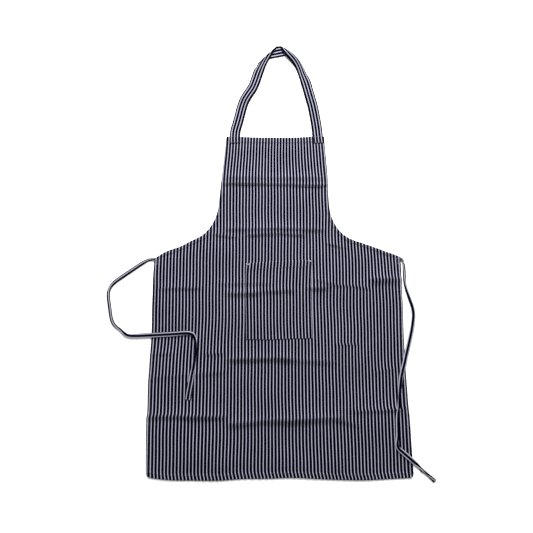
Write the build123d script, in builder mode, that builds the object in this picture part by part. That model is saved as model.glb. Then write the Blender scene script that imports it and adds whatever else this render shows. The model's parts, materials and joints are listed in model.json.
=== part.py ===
"""Striped cotton bib apron, laid out flat on a surface with its front up.

The apron is one cut panel (a skirt with a bib above it) whose edges are turned under and
stitched, a patch pocket, a neck strap sewn to the top of the bib and a waist tie sewn to
each side. Left and right are as seen from the front: +X runs to the right across the
apron, +Y runs up it to the neck strap, and +Z is up from the surface.

The origin is on the surface, in the middle of the apron's width and of its length from
the bottom hem to the top of the neck loop. All sizes are in millimetres.
"""

from build123d import *

import math
import os

os.makedirs("parts", exist_ok=True)

# The cloth and its layers
cloth = 0.5  # one layer of twill
turned_layers = 1.5  # a hem's turned-under layers, below the front
front_z = turned_layers + cloth  # height of the front face above the surface

# The panel, with heights counted up from the bottom hem
skirt_width = 700.0
panel_length = 965.0
waist_height = 590.0
bib_width = 290.0
armhole_x = 165.0  # where the bib's side and the armhole's slope would meet
armhole_height = 672.0
armhole_radius = 123.0
bottom_corner_radius = 12.0
upper_corner_radius = 3.0
side_hem = 10.0
bib_hem = 18.0
bottom_hem = 14.0

# The whole apron from the bottom hem to the top of the neck loop
overall_length = 1270.0
base_y = -overall_length / 2  # Y of the bottom hem

# The patch pocket
pocket_width = 184.0
pocket_height = 220.0
pocket_base = 360.0  # height of its lower edge
pocket_seam = 8.0  # width of the edge that lies flat and is stitched
pocket_hem = 20.0
pocket_gape = 7.0  # how far the open mouth stands off the panel at its middle
pocket_slack = 0.7  # how far the front stands off the panel along the bottom seam

# The neck strap
strap_width = 32.0
strap_thickness = 1.6
strap_overlap = 16.0  # length of each end that is sewn on the bib
strap_gap = 4.0  # between a sewn end and the middle of the slanted start of the loop
left_end_x = -128.0
right_end_x = 121.5

# The waist ties
tie_width = 18.0
tie_thickness = 1.4
tie_sewn_length = 12.0  # length of the end that is sewn inside the hem
tie_hinge_x = 360.0
tie_hinge_height = 580.0
tie_slot_clearance = 0.1
upright_guide = 30.0  # height of the line that keeps a swept strap upright

# Sewing thread
thread_width = 0.6
thread_height = 0.2
seam_inset = 1.5  # from a line of stitches to the inner edge of its hem
edge_seam_inset = 2.0  # from a line of stitches to the edge of a strap or the pocket
tack_length = 10.0
tack_width = 3.0

# Routes of the straps' centrelines, as (X, height above the bottom hem, Z).
# The neck strap lies flat. A tie lies on its edge or on a slant, which lifts its centre.
strap_z = strap_thickness / 2
neck_route = [
    (left_end_x, panel_length + strap_gap, front_z + strap_z),
    (-121.0, 1006.0, strap_z),
    (-109.0, 1055.0, strap_z),
    (-96.0, 1093.0, strap_z),
    (-76.0, 1128.0, strap_z),
    (-62.0, 1170.0, strap_z),
    (-44.0, 1214.0, strap_z),
    (-10.0, overall_length - strap_width / 2, strap_z),
    (28.0, overall_length - strap_width / 2, strap_z),
    (62.0, 1216.0, strap_z),
    (82.0, 1160.0, strap_z),
    (95.0, 1108.0, strap_z),
    (110.0, 1055.0, strap_z),
    (118.0, 1006.0, strap_z),
    (right_end_x, panel_length + strap_gap, front_z + strap_z),
]
left_tie_route = [
    (-tie_hinge_x, tie_hinge_height, tie_thickness / 2),
    (-405.0, 560.0, 7.0),
    (-456.0, 530.0, 9.0),
    (-483.0, 492.0, 9.7),
    (-478.0, 448.0, 8.5),
    (-464.0, 407.0, 9.5),
    (-434.0, 375.0, 9.5),
    (-389.0, 369.0, 8.0),
    (-339.0, 371.0, 9.0),
    (-292.0, 376.0, 9.0),
    (-248.0, 383.0, 11.5),
    (-230.0, 366.0, 12.0),
    (-231.0, 326.0, 11.0),
    (-234.0, 283.0, 9.5),
    (-239.0, 238.0, 5.5),
    (-245.0, 197.0, 3.2),
]
right_tie_route = [
    (tie_hinge_x, tie_hinge_height, tie_thickness / 2),
    (361.0, 541.0, 8.0),
    (354.0, 503.0, 9.5),
    (368.0, 461.0, 8.5),
    (376.0, 415.0, 7.5),
    (361.0, 362.0, 9.0),
    (347.0, 305.0, 9.0),
    (341.0, 250.0, 9.0),
    (332.0, 195.0, 10.5),
    (328.0, 136.0, 11.0),
    (322.0, 98.0, 11.0),
    (321.0, 66.0, 11.0),
    (345.0, 46.0, 9.5),
    (378.0, 21.0, 8.5),
    (404.0, -4.0, 8.0),
]


def finish(name, builder):
    """Labels a finished piece and writes it as one STEP file."""
    builder.part.label = name
    export_step(builder.part, f"parts/{name}.step")


def placed(route):
    """A route's points in the apron's own frame."""
    return [Vector(x, base_y + height, z) for x, height, z in route]


def corner_radii(points):
    """The largest radius that each corner of a route has room for."""
    radii = []
    for before, corner, after in zip(points, points[1:], points[2:]):
        arriving, leaving = corner - before, after - corner
        half_turn = math.radians(arriving.get_angle(leaving)) / 2
        shorter = min(arriving.length, leaving.length)
        radii.append(0.45 * shorter / math.tan(half_turn))
    return radii


def route_line(route):
    """Straight runs along a route, joined by tangent arcs."""
    points = placed(route)
    with BuildLine() as line:
        FilletPolyline(*points, radius=corner_radii(points))
    return line.line


def strap_section(route, width, height, side=0.0, lift=0.0):
    """An upright cross section at the start of a route, side and lift away from its centre."""
    start, towards = placed(route)[:2]
    ahead = Vector(towards.X - start.X, towards.Y - start.Y, 0).normalized()
    across = Vector(ahead.Y, -ahead.X, 0)
    centre = start + across * side + Vector(0, 0, lift)
    with BuildSketch(Plane(centre, x_dir=across, z_dir=ahead)) as section:
        Rectangle(width, height)
    return section.sketch


def sweep_upright(section, route):
    """Sweeps a section along a route in the part that is open, without letting it roll."""
    line = route_line(route)
    guide = Wire(line.moved(Location((0, 0, upright_guide))).edges())
    sweep(section, line, binormal=guide)


def edge_thread_section(route, width, thickness, side):
    """A line of stitches on top of a strap, just inside its edge on one side."""
    inset = side * (width / 2 - edge_seam_inset)
    return strap_section(route, thread_width, thread_height, inset, (thickness + thread_height) / 2)


def report_strap(name, route, part, section_area):
    """Prints a strap's length, its radii, and its volume against its section times its length."""
    length = sum(edge.length for edge in route_line(route).edges())
    radii = [round(r) for r in corner_radii(placed(route))]
    share = part.volume / (section_area * length)
    print(f"{name}: length {length:.0f}, radii {radii}, volume share {share:.3f}")


# The panel's outline, with its hems turned, and the layers that are cut from it
with BuildSketch() as panel_outline:
    with BuildLine():
        FilletPolyline(
            (0, base_y),
            (skirt_width / 2, base_y),
            (skirt_width / 2, base_y + waist_height),
            (armhole_x, base_y + armhole_height),
            (bib_width / 2, base_y + panel_length),
            (0, base_y + panel_length),
            radius=[bottom_corner_radius, upper_corner_radius, armhole_radius, upper_corner_radius],
        )
        mirror(about=Plane.YZ)
    make_face()


def band_inside_edge(outer_inset, inner_inset):
    """The band of the panel between two distances from its edge."""
    with BuildSketch() as band:
        add(panel_outline.sketch)
        if outer_inset:
            offset(amount=-outer_inset, kind=Kind.INTERSECTION, mode=Mode.REPLACE)
        inner = inner_inset - outer_inset
        offset(amount=-inner, kind=Kind.INTERSECTION, mode=Mode.SUBTRACT)
    return band.sketch


def keep_between(low_x, high_x, low_height, high_height):
    """Trims the open sketch to a rectangle."""
    middle = ((low_x + high_x) / 2, base_y + (low_height + high_height) / 2)
    with Locations(middle):
        Rectangle(high_x - low_x, high_height - low_height, mode=Mode.INTERSECT)


# Main panel: the front layer over its turned-under hems, with a slot for each tie's end
slot_x = (skirt_width - tie_sewn_length) / 2
tie_places = ((-slot_x, base_y + tie_hinge_height), (slot_x, base_y + tie_hinge_height))
with BuildPart() as main_panel:
    with BuildSketch(Plane.XY.offset(turned_layers)):
        add(panel_outline.sketch)
    extrude(amount=cloth)
    with BuildSketch(Plane.XY):
        add(band_inside_edge(0, side_hem))
    extrude(amount=turned_layers)
    with BuildSketch(Plane.XY):
        add(panel_outline.sketch)
        keep_between(-skirt_width, skirt_width, panel_length - bib_hem, panel_length)
    extrude(amount=turned_layers)
    with BuildSketch(Plane.XY):
        add(panel_outline.sketch)
        keep_between(-skirt_width, skirt_width, 0, bottom_hem)
    extrude(amount=turned_layers)
    with BuildSketch(Plane.XY):
        with Locations(*tie_places):
            Rectangle(tie_sewn_length + tie_slot_clearance, tie_width + 2 * tie_slot_clearance)
    extrude(amount=turned_layers, mode=Mode.SUBTRACT)
finish("main_panel", main_panel)


# Patch pocket: a stitched edge on three sides, and a front that arches up to the open mouth
bag_width = pocket_width - 2 * pocket_seam
bag_base = pocket_base + pocket_seam
bag_top = pocket_base + pocket_height
pocket_edge_z = front_z + 2 * cloth
pocket_hem_height = bag_top - pocket_hem


def arched_section(height, rise, low, high):
    """An arched layer across the bag, from low to high above the panel at its sides."""
    half = bag_width / 2
    plane = Plane((0, base_y + height, front_z), x_dir=(1, 0, 0), z_dir=(0, -1, 0))
    with BuildSketch(plane) as section:
        with BuildLine():
            ThreePointArc((-half, high), (0, high + rise), (half, high))
            Line((half, high), (half, low))
            ThreePointArc((half, low), (0, low + rise), (-half, low))
            Line((-half, low), (-half, high))
        make_face()
    return section.sketch


def arched_layer(low, high):
    """The bottom and the top section of a layer that widens from the bottom seam to the mouth."""
    return [
        arched_section(bag_base, pocket_slack, low, high),
        arched_section(bag_top, pocket_gape, low, high),
    ]


with BuildPart() as patch_pocket:
    loft(arched_layer(0, cloth), ruled=True)
    with BuildSketch(Plane.XY.offset(front_z)):
        with Locations((0, base_y + pocket_base + pocket_height / 2)):
            Rectangle(pocket_width, pocket_height)
        with Locations((0, base_y + bag_base + pocket_height / 2)):
            Rectangle(bag_width, pocket_height, mode=Mode.SUBTRACT)
    extrude(amount=2 * cloth)
finish("patch_pocket", patch_pocket)


# Neck strap: a sewn end on each side of the bib, and the loop that folds about the bib's top
strap_end_y = base_y + panel_length - strap_overlap / 2
strap_end_places = ((left_end_x, strap_end_y), (right_end_x, strap_end_y))
with BuildPart() as neck_strap_sewn_ends:
    with BuildSketch(Plane.XY.offset(front_z)):
        with Locations(*strap_end_places):
            Rectangle(strap_width, strap_overlap)
    extrude(amount=strap_thickness)
finish("neck_strap_sewn_ends", neck_strap_sewn_ends)

with BuildPart() as neck_strap_loop:
    sweep_upright(strap_section(neck_route, strap_width, strap_thickness), neck_route)
report_strap("neck strap", neck_route, neck_strap_loop.part, strap_width * strap_thickness)
finish("neck_strap_loop", neck_strap_loop)

with BuildPart() as neck_strap_edge_threads:
    for side in (-1, 1):
        sweep_upright(
            edge_thread_section(neck_route, strap_width, strap_thickness, side), neck_route
        )
finish("neck_strap_edge_threads", neck_strap_edge_threads)


# Waist ties: an end sewn inside the hem, and the free length that swings about its round start
for name, route, place in (
    ("left", left_tie_route, tie_places[0]),
    ("right", right_tie_route, tie_places[1]),
):
    with BuildPart() as tie_sewn_end:
        with BuildSketch(Plane.XY):
            with Locations(place):
                Rectangle(tie_sewn_length, tie_width)
        extrude(amount=turned_layers)
    finish(f"{name}_tie_sewn_end", tie_sewn_end)

    with BuildPart() as waist_tie:
        sweep_upright(strap_section(route, tie_width, tie_thickness), route)
        with Locations(placed(route)[0]):
            Cylinder(tie_width / 2, tie_thickness)
    report_strap(f"{name} waist tie", route, waist_tie.part, tie_width * tie_thickness)
    finish(f"{name}_waist_tie", waist_tie)

    with BuildPart() as tie_edge_thread:
        sweep_upright(edge_thread_section(route, tie_width, tie_thickness, 1), route)
    finish(f"{name}_tie_edge_thread", tie_edge_thread)


# Lines of stitches along the panel's hems
stitch_inset = side_hem - seam_inset
stitch_band = band_inside_edge(stitch_inset - thread_width / 2, stitch_inset + thread_width / 2)
waist_stitch_height = waist_height - 5.5  # where the side's line meets the armhole's
hem_regions = {
    "left_side_hem_thread": (-skirt_width / 2, -skirt_width / 4, bottom_hem, waist_stitch_height),
    "right_side_hem_thread": (skirt_width / 4, skirt_width / 2, bottom_hem, waist_stitch_height),
    "left_armhole_thread": (-skirt_width / 2, 0, waist_height - 5, panel_length - bib_hem),
    "right_armhole_thread": (0, skirt_width / 2, waist_height - 5, panel_length - bib_hem),
}
for name, region in hem_regions.items():
    with BuildPart() as hem_thread:
        with BuildSketch(Plane.XY.offset(front_z)):
            add(stitch_band)
            keep_between(*region)
        extrude(amount=thread_height)
    finish(name, hem_thread)

straight_seams = {
    "bottom_hem_thread": (skirt_width - 2 * side_hem, bottom_hem - seam_inset),
    "bib_hem_thread": (bib_width - 2 * seam_inset, panel_length - bib_hem + seam_inset),
}
for name, (length, height) in straight_seams.items():
    with BuildPart() as straight_thread:
        with BuildSketch(Plane.XY.offset(front_z)):
            with Locations((0, base_y + height)):
                Rectangle(length, thread_width)
        extrude(amount=thread_height)
    finish(name, straight_thread)


# Stitches on the pocket: round three sides, along the mouth's hem, and a tack at each corner
seam_line_x = pocket_width / 2 - edge_seam_inset
seam_line_height = pocket_base + edge_seam_inset
with BuildPart() as pocket_seam_thread:
    with BuildSketch(Plane.XY.offset(pocket_edge_z)):
        side_middle = base_y + (seam_line_height + bag_top) / 2
        with Locations((-seam_line_x, side_middle), (seam_line_x, side_middle)):
            Rectangle(thread_width, bag_top - seam_line_height)
        with Locations((0, base_y + seam_line_height)):
            Rectangle(2 * seam_line_x + thread_width, thread_width)
    extrude(amount=thread_height)
finish("pocket_seam_thread", pocket_seam_thread)

with BuildPart() as pocket_hem_thread:
    loft(arched_layer(cloth, cloth + thread_height), ruled=True)
    with Locations((0, base_y + pocket_hem_height, front_z)):
        Box(bag_width - 2 * seam_inset, thread_width, 4 * pocket_gape, mode=Mode.INTERSECT)
finish("pocket_hem_thread", pocket_hem_thread)

with BuildPart() as pocket_corner_tacks:
    tack_x = seam_line_x - thread_width - tack_width / 2
    tack_y = base_y + bag_top - tack_length / 2
    with BuildSketch(Plane.XY.offset(pocket_edge_z)):
        with Locations((-tack_x, tack_y), (tack_x, tack_y)):
            Rectangle(tack_width, tack_length)
    extrude(amount=2 * thread_height)
finish("pocket_corner_tacks", pocket_corner_tacks)


# Stitches that hold the neck strap's ends to the bib and the ties' ends in the side hems
with BuildPart() as neck_strap_anchor_threads:
    row_gap = strap_overlap - 2 * edge_seam_inset
    with BuildSketch(Plane.XY.offset(front_z + strap_thickness)):
        with Locations(*strap_end_places):
            with GridLocations(0, row_gap, 1, 2):
                Rectangle(strap_width - edge_seam_inset, thread_width)
    extrude(amount=thread_height)
finish("neck_strap_anchor_threads", neck_strap_anchor_threads)

for name, side in (("left", -1), ("right", 1)):
    with BuildPart() as tie_anchor_thread:
        with BuildSketch(Plane.XY.offset(front_z)):
            with Locations((side * (skirt_width / 2 - edge_seam_inset), base_y + tie_hinge_height)):
                Rectangle(thread_width, tie_width)
        extrude(amount=thread_height)
    finish(f"{name}_tie_anchor_thread", tie_anchor_thread)
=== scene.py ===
import json
import math

import bpy
import numpy as np
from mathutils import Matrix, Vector

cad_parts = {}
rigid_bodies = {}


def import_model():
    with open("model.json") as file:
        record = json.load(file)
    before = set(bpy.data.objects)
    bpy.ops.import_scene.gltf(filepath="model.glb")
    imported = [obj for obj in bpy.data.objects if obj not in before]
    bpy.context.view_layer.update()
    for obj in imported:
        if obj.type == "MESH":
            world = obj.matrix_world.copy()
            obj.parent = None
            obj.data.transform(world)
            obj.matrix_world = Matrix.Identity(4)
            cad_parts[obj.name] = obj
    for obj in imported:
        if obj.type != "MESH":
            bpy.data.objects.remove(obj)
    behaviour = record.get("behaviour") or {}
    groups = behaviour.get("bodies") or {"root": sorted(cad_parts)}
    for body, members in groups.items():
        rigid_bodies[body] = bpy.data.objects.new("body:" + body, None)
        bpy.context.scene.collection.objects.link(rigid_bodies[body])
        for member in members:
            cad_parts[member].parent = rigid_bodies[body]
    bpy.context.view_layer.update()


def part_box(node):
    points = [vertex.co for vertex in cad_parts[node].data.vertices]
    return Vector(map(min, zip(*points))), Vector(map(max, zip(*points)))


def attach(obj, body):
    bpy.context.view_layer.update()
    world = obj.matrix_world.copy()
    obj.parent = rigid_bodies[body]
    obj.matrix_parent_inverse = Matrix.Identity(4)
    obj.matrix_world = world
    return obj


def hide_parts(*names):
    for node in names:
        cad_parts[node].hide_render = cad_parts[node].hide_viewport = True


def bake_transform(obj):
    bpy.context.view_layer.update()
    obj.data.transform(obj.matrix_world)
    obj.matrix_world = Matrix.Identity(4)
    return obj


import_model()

# Places on the panel, the pocket and the strap are given as x across the apron and y up from its
# bottom hem, and the ties' routes in the frame's own x, y and z, all in metres.
panelLow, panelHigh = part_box("main_panel")
baseY = panelLow.y


# small tools

def deselectAll():
    for item in bpy.context.view_layer.objects:
        item.select_set(False)


def smooth(value, low, high):
    share = np.clip((value - low) / (high - low), 0, 1)
    return share * share * (3 - 2 * share)


def throughPoints(value, pairs):
    # a smooth curve that eases from each given pair to the next
    places = np.array([pair[0] for pair in pairs])
    heights = np.array([pair[1] for pair in pairs])
    value = np.clip(value, places[0], places[-1])
    index = np.clip(np.searchsorted(places, value, side="right") - 1, 0, len(places) - 2)
    share = (value - places[index]) / (places[index + 1] - places[index])
    slopes = np.gradient(heights, places)
    span = places[index + 1] - places[index]
    start = (1 + 2 * share) * (1 - share) ** 2 * heights[index]
    end = share ** 2 * (3 - 2 * share) * heights[index + 1]
    leave = share * (1 - share) ** 2 * slopes[index] * span
    arrive = share ** 2 * (share - 1) * slopes[index + 1] * span
    return start + end + leave + arrive


def ripple(x, y, waves):
    # a sum of waves: height, length along x, length along y, shift
    total = 0 * x
    for height, lengthX, lengthY, shift in waves:
        total = total + height * np.sin(2 * math.pi * (x / lengthX + y / lengthY) + shift)
    return total


def puckers(place, length, sway, swayLength):
    # close waves of uneven length
    return np.sin(place / length + sway * np.sin(place / swayLength))


def unit(vectors):
    return vectors / np.maximum(np.linalg.norm(vectors, axis=-1, keepdims=True), 1e-12)


def lengthsAlong(points):
    return np.concatenate([[0], np.cumsum(np.linalg.norm(np.diff(points, axis=0), axis=1))])


def evenSteps(points, count):
    # x and y of even steps along a line through the points
    points = np.asarray(points, float)
    gone = lengthsAlong(points)
    stops = np.linspace(0, gone[-1], count)
    return np.interp(stops, gone, points[:, 0]), np.interp(stops, gone, points[:, 1])


def finishMesh(piece, material):
    piece.data.materials.clear()
    piece.data.materials.append(material)
    deselectAll()
    piece.select_set(True)
    bpy.context.view_layer.objects.active = piece
    bpy.ops.object.shade_smooth()
    piece.select_set(False)
    return piece


def giveThickness(piece, thickness, side):
    bpy.context.view_layer.objects.active = piece
    wall = piece.modifiers.new("thickness", "SOLIDIFY")
    wall.thickness = thickness
    wall.offset = side
    wall.use_even_offset = False
    bpy.ops.object.modifier_apply(modifier=wall.name)


def sheetFromGrid(name, columns, rows, lay, thickness, side, wear=None):
    # a flat grid, each of whose vertices is laid where its cloth lies
    deselectAll()
    bpy.ops.mesh.primitive_grid_add(x_subdivisions=columns, y_subdivisions=rows, size=1)
    piece = bpy.context.object
    piece.name = name
    flat = np.zeros(len(piece.data.vertices) * 3)
    piece.data.vertices.foreach_get("co", flat)
    flat = flat.reshape(-1, 3)
    across, along = flat[:, 0] + 0.5, flat[:, 1] + 0.5
    cloth, places = lay(across, along)
    piece.data.vertices.foreach_set("co", places.ravel())
    corners = np.zeros(len(piece.data.loops), int)
    piece.data.loops.foreach_get("vertex_index", corners)
    weave = piece.data.uv_layers.active or piece.data.uv_layers.new(name="cloth")
    weave.name = "cloth"
    weave.data.foreach_set("uv", cloth[corners].ravel())
    worn = piece.data.attributes.new("wear", "FLOAT", "POINT")
    amount = np.zeros(len(flat)) if wear is None else wear(cloth)
    worn.data.foreach_set("value", amount.astype(np.float32))
    piece.data.update()
    giveThickness(piece, thickness, side)
    return piece


# camera

camera = dict(lens=30.4, sensor=36.0, aim=(-0.033, -0.070), distance=1.2847, tilt=10.8)


def makeCamera():
    tilt = math.radians(camera["tilt"])
    aimX, aimY = camera["aim"]
    back = camera["distance"] * math.sin(tilt)
    up = camera["distance"] * math.cos(tilt)
    bpy.ops.object.camera_add(location=(aimX, aimY - back, up), rotation=(tilt, 0, 0))
    eye = bpy.context.object
    eye.name = "camera"
    eye.data.lens = camera["lens"]
    eye.data.sensor_width = camera["sensor"]
    bpy.context.scene.camera = eye


makeCamera()
print("camera set")


# the lie of the cloth: the panel's outline, and how its flat shape drifts and rises

panel = dict(
    width=panelHigh.x - panelLow.x,
    length=panelHigh.y - panelLow.y,
    waist=0.590, bibHalf=0.145, armholeX=0.165, armholeY=0.672, armholeRadius=0.123,
    cornerRadius=0.012,
    cloth=0.0005, low=0.0013, hemRise=0.0011, slack=0.0020, foldHeight=3.1,
    drawnIn=0.062,
    sideHem=0.010, bibHem=0.018, bottomHem=0.014,
)
bibDrift = [
    (0.0, 0.003), (0.25, 0.0), (0.50, -0.002), (0.60, -0.001), (0.635, -0.005),
    (0.67, -0.0105), (0.78, -0.0105), (0.86, -0.008), (0.93, -0.0075), (0.965, -0.006),
]
hemDrift = [
    (-0.35, 0.0015), (-0.27, -0.0044), (-0.18, -0.0062), (-0.09, -0.0010),
    (0.0, 0.0), (0.09, -0.0005), (0.18, -0.0045), (0.26, -0.0035), (0.35, 0.003),
]
waistDrift = [
    (-0.35, -0.002), (-0.32, 0.004), (-0.27, 0.0), (-0.24, 0.002), (-0.2, 0.0), (0.0, 0.0),
    (0.17, -0.003), (0.20, -0.005), (0.24, -0.003), (0.28, 0.0), (0.32, 0.003), (0.35, 0.004),
]
leftDrift = [
    (0.0, -0.002), (0.10, -0.004), (0.25, -0.0045), (0.32, -0.002), (0.40, 0.0),
    (0.48, -0.002), (0.55, -0.0045), (0.62, -0.003), (0.68, 0.0),
]
rightDrift = [
    (0.0, 0.0), (0.05, 0.0), (0.13, -0.001), (0.20, -0.002), (0.28, -0.003), (0.40, 0.0),
    (0.68, 0.0),
]
# folds left from when it was packed flat: from x, y, to x, y, height, how soon it drops, and how
# far the stripes jog sideways as they cross it
folds = [
    (-0.200, 0.816, 0.175, 0.808, 0.0018, 0.0045, 0.0002),
    (-0.190, 0.836, 0.170, 0.834, 0.0014, 0.014, 0.0),
    (-0.145, 0.678, 0.150, 0.678, 0.0017, 0.010, 0.0003),
    (-0.186, 0.666, -0.105, 0.650, 0.0012, 0.008, 0.0007),
    (-0.085, 0.661, 0.090, 0.662, 0.0016, 0.008, -0.0004),
    (0.140, 0.638, 0.190, 0.628, 0.0009, 0.008, -0.0006),
    (-0.345, 0.501, -0.210, 0.505, 0.0011, 0.006, 0.0008),
    (-0.170, 0.518, -0.010, 0.519, 0.0008, 0.010, 0.0004),
    (-0.148, 0.492, -0.050, 0.491, 0.0022, 0.013, 0.0006),
    (-0.056, 0.496, 0.052, 0.498, 0.0012, 0.011, -0.0003),
    (0.080, 0.504, 0.146, 0.507, 0.0017, 0.011, -0.0006),
    (0.098, 0.531, 0.160, 0.515, 0.0008, 0.008, -0.0006),
    (0.148, 0.516, 0.268, 0.501, 0.0008, 0.006, -0.0016),
    (0.258, 0.531, 0.372, 0.531, 0.0020, 0.018, -0.0008),
    (-0.372, 0.323, -0.284, 0.322, 0.0008, 0.007, 0.0006),
    (-0.205, 0.323, -0.140, 0.325, 0.0009, 0.007, -0.0010),
    (-0.144, 0.309, 0.040, 0.312, 0.0020, 0.013, 0.0005),
    (0.000, 0.312, 0.160, 0.299, 0.0011, 0.013, -0.0004),
    (0.156, 0.348, 0.226, 0.349, 0.0007, 0.007, -0.0018),
    (-0.360, 0.258, -0.138, 0.277, 0.0007, 0.012, 0.0004),
    (0.256, 0.272, 0.326, 0.286, 0.0007, 0.010, -0.0006),
    (-0.372, 0.160, -0.138, 0.160, 0.0020, 0.012, 0.0012),
    (-0.140, 0.143, 0.174, 0.158, 0.0022, 0.016, 0.0004),
    (0.154, 0.153, 0.220, 0.136, 0.0012, 0.012, -0.0006),
    (0.195, 0.173, 0.345, 0.178, 0.0013, 0.010, -0.0014),
    (-0.136, 0.020, -0.147, 0.530, 0.0006, 0.008, 0.0),
    (0.158, 0.005, 0.173, 0.590, 0.0006, 0.008, 0.0),
]
foldLook = dict(
    rise=0.016, fade=0.030,  # how far a fold swells before its crest, and fades at its ends
    wander=0.0007, wanderLength=0.023, shake=0.0003, shakeLength=0.0083,
    uneven=0.16, unevenLength=0.034,
    wornHalf=0.003, wornFully=0.0025, jogShift=0.002, jogHalf=0.004, jogReach=0.035,
)


def armholeArc():
    # centre of the armhole's arc, and where it meets the slope and the bib's side
    halfWidth = panel["width"] / 2
    corner = np.array([panel["armholeX"], panel["armholeY"]])
    slope = unit(np.array([halfWidth, panel["waist"]]) - corner)
    side = unit(np.array([panel["bibHalf"], panel["length"]]) - corner)
    halfTurn = (math.pi - math.acos(float(slope @ side))) / 2
    reach = panel["armholeRadius"] * math.tan(halfTurn)
    centre = corner + unit(slope + side) * panel["armholeRadius"] / math.cos(halfTurn)
    return centre, corner + slope * reach, corner + side * reach


arcCentre, arcLow, arcHigh = armholeArc()


def halfWidthAt(y):
    half = panel["width"] / 2
    radius = panel["cornerRadius"]
    rise = np.clip(radius - y, 0, radius)
    skirt = half - radius + np.sqrt(radius ** 2 - rise ** 2)
    slopeShare = (y - panel["waist"]) / (arcLow[1] - panel["waist"])
    slope = half + slopeShare * (arcLow[0] - half)
    within = np.clip(panel["armholeRadius"] ** 2 - (y - arcCentre[1]) ** 2, 0, None)
    arc = arcCentre[0] - np.sqrt(within)
    bibShare = (y - arcHigh[1]) / (panel["length"] - arcHigh[1])
    bib = arcHigh[0] + bibShare * (panel["bibHalf"] - arcHigh[0])
    upper = np.where(y < arcLow[1], slope, np.where(y < arcHigh[1], arc, bib))
    return np.where(y < panel["waist"], skirt, upper)


def leanAt(y):
    # how fast the half width changes with height
    step = 0.0005
    return (halfWidthAt(y + step) - halfWidthAt(y - step)) / (2 * step)


def edgeDistance(x, y):
    # how far inside the panel's sides a place is
    return (halfWidthAt(y) - np.abs(x)) / np.sqrt(1 + leanAt(y) ** 2)


def foldShape(x, y):
    # height of all the packing folds, how near a place is to a crest, and the stripes' jog
    look = foldLook
    before, after = -0.3 * look["fade"], 0.7 * look["fade"]
    rise, crest, jog = 0 * x, 0 * x, 0 * x
    for x0, y0, x1, y1, height, drop, sideways in folds:
        length = math.hypot(x1 - x0, y1 - y0)
        alongX, alongY = (x1 - x0) / length, (y1 - y0) / length
        gone = (x - x0) * alongX + (y - y0) * alongY
        away = (y - y0) * alongX - (x - x0) * alongY
        away = away + look["wander"] * np.sin(gone / look["wanderLength"] + 40 * y0)
        away = away + look["shake"] * np.sin(gone / look["shakeLength"] + 90 * x0)
        ends = smooth(gone, before, after) * smooth(length - gone, before, after)
        swell = np.exp(-np.clip(away, 0, None) / look["rise"])
        profile = np.where(away > 0, swell, 1 - smooth(-away, 0, 1.4 * drop))
        uneven = 1 + look["uneven"] * np.sin(gone / look["unevenLength"] + 60 * y0)
        rise = rise + height * uneven * ends * profile
        worn = np.exp(-(away / look["wornHalf"]) ** 2) * min(1.0, height / look["wornFully"])
        crest = np.maximum(crest, ends * worn)
        across = np.tanh((away + look["jogShift"]) / look["jogHalf"])
        jog = jog + sideways * ends * across * np.exp(-np.abs(away) / look["jogReach"])
    return rise, crest, jog


def edgeOf(x, y):
    return np.minimum(np.minimum(edgeDistance(x, y), y), panel["length"] - y)


def cutShift(y):
    # the cut edges lie a little to one side of the stripes' middle
    return throughPoints(y, bibDrift)


gatherFrom = folds[0][1]


def gather(y):
    # the bib is drawn in from its first fold up to its top hem
    share = np.clip((y - gatherFrom) / (panel["length"] - gatherFrom), 0, 1)
    return 1 + panel["drawnIn"] * share


# how the flat panel slides about in its own plane, beyond the drifts listed above
slide = dict(
    bibWider=0.016, widerOver=(0.66, 0.74), sideFrom=0.10, roping=0.0040, ropingReach=0.020,
    hemReach=0.13, waistFrom=(0.50, 0.60), waistTo=0.76, waistFade=0.1,
    bibDrop=0.0035, dropFrom=0.80, bibScallop=0.0012, scallopLength=0.046,
    across=[(0.0004, 0.61, 0.311, 0.3), (0.0003, -0.43, 0.163, 1.9), (0.0002, 0.29, 0.101, 4.1)],
    along=[(0.0007, 0.21, 0.60, 0.8), (0.0005, -0.13, 0.35, 2.9)],
)


def panelDrift(x, y):
    half = panel["width"] / 2
    dx = cutShift(y) + slide["bibWider"] * x * smooth(y, *slide["widerOver"])
    dx = dx + throughPoints(y, leftDrift) * smooth(-x, slide["sideFrom"], half)
    dx = dx + throughPoints(y, rightDrift) * smooth(x, slide["sideFrom"], half)
    dx = dx + ripple(x, y, slide["across"])
    dx = dx + foldShape(x, y)[2]
    nearHem = smooth(slide["ropingReach"] - y, 0, slide["ropingReach"])
    dx = dx + slide["roping"] * (nearHem * (1 - np.clip(np.abs(x) / half, 0, 1) ** 6))
    dy = throughPoints(x, hemDrift) * np.exp(-y / slide["hemReach"])
    dy = dy + ripple(x, y, slide["along"])
    atWaist = throughPoints(x, waistDrift) * smooth(y, *slide["waistFrom"])
    dy = dy + atWaist * smooth(slide["waistTo"] - y, 0, slide["waistFade"])
    scallop = slide["bibDrop"] + slide["bibScallop"] * np.cos(x / slide["scallopLength"])
    dy = dy - scallop * smooth(y, slide["dropFrom"], panel["length"])
    return dx, dy


# how the cloth rises: long waves, a step at each hem, and small puckers beside the seams
ruffle = dict(
    waves=[
        (0.0009, 0.83, 0.19, 1.2), (0.0006, -0.35, 0.27, 3.3), (0.0004, 0.19, 0.155, 0.2),
        (0.0003, -0.13, 0.095, 5.1)],
    hemStep=0.0018, hemSlope=0.0025, sidePucker=0.00028, bottomRope=0.00035, bibCrimp=0.00018,
    edgeRound=0.0007, edgeReach=0.0015,
)


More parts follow.
